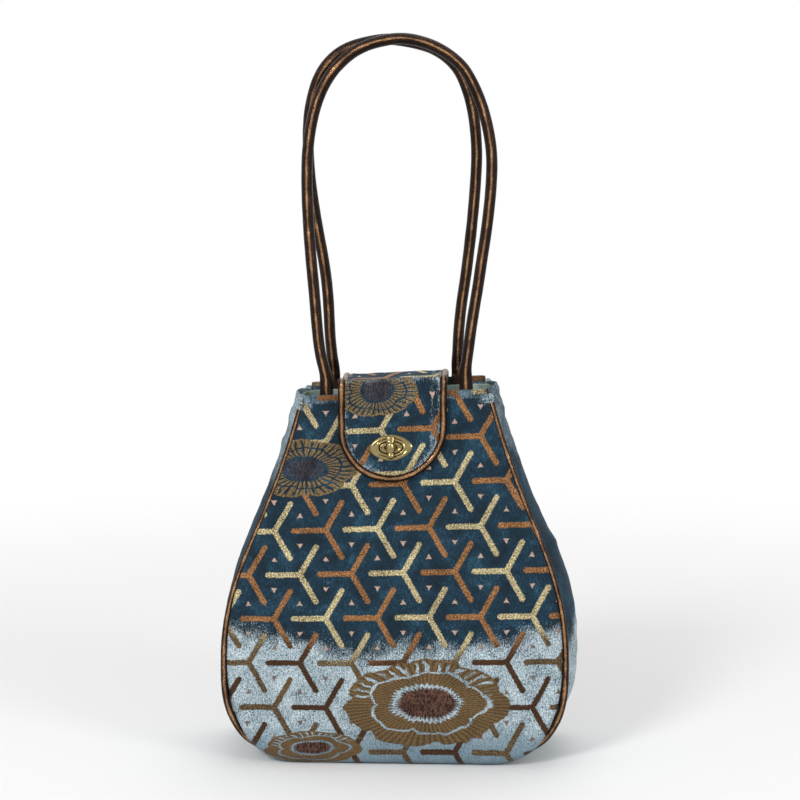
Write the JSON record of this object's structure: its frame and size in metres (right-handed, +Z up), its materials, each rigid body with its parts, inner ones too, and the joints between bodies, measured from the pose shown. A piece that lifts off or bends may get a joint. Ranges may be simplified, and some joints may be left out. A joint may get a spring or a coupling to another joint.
{
  "type": "handbag",
  "caption": "Pear-shaped velvet handbag with a tab flap held by a turn lock, leather piping and rolled leather handles.",
  "frame": {"origin": "centre of the base, on the surface the bag stands on", "axes": "+Z up towards the handles, -Y out of the front panel with the flap, +X to the right seen from the front"},
  "size_m": [0.2824, 0.125, 0.5856],
  "materials": {
    "velvet_front": "dark teal pile with a woven metallic motif",
    "velvet_back": "dark teal pile with a woven metallic motif",
    "velvet_gusset": "dark teal pile",
    "velvet_flap": "dark teal pile with a woven metallic motif",
    "satin_lining": "satin",
    "board": "matt",
    "flap_leather": "bronzed",
    "piping_leather": "bronzed",
    "handle_leather": "bronzed",
    "lock_brass": "polished"
  },
  "bodies": {
    "bag": {"front_panel": "velvet_front", "back_panel": "velvet_back", "gusset": "velvet_gusset", "front_piping": "piping_leather", "back_piping": "piping_leather", "lining": "satin_lining", "base_board": "board", "flap": "velvet_flap", "flap_lining": "flap_leather", "flap_piping": "piping_leather", "lock_eye_plate": "lock_brass", "lock_eye_backing": "lock_brass", "lock_base": "lock_brass", "front_tab_left": "handle_leather", "front_tab_right": "handle_leather", "back_tab_left": "handle_leather", "back_tab_right": "handle_leather"},
    "knob": {"lock_knob": "lock_brass"},
    "handle_front": {"front_handle": "handle_leather"},
    "handle_back": {"back_handle": "handle_leather"}
  },
  "joints": [
    {"name": "knob_turn", "type": "hinge", "parent": "bag", "child": "knob", "pos_m": [-0.0029, -0.03311, 0.25689], "axis": [0.0056, 0.9903, -0.1389], "range_deg": [0, 90]},
    {"name": "front_handle_fall", "type": "hinge", "parent": "bag", "child": "handle_front", "pos_m": [0.00055, -0.02621, 0.30702], "axis": [0.999, -0.0005, 0.0436], "range_deg": [0, 115]},
    {"name": "back_handle_fall", "type": "hinge", "parent": "bag", "child": "handle_back", "pos_m": [-0.002, 0.02599, 0.31091], "axis": [-0.999, 0.0025, -0.0436], "range_deg": [0, 115]}
  ]
}
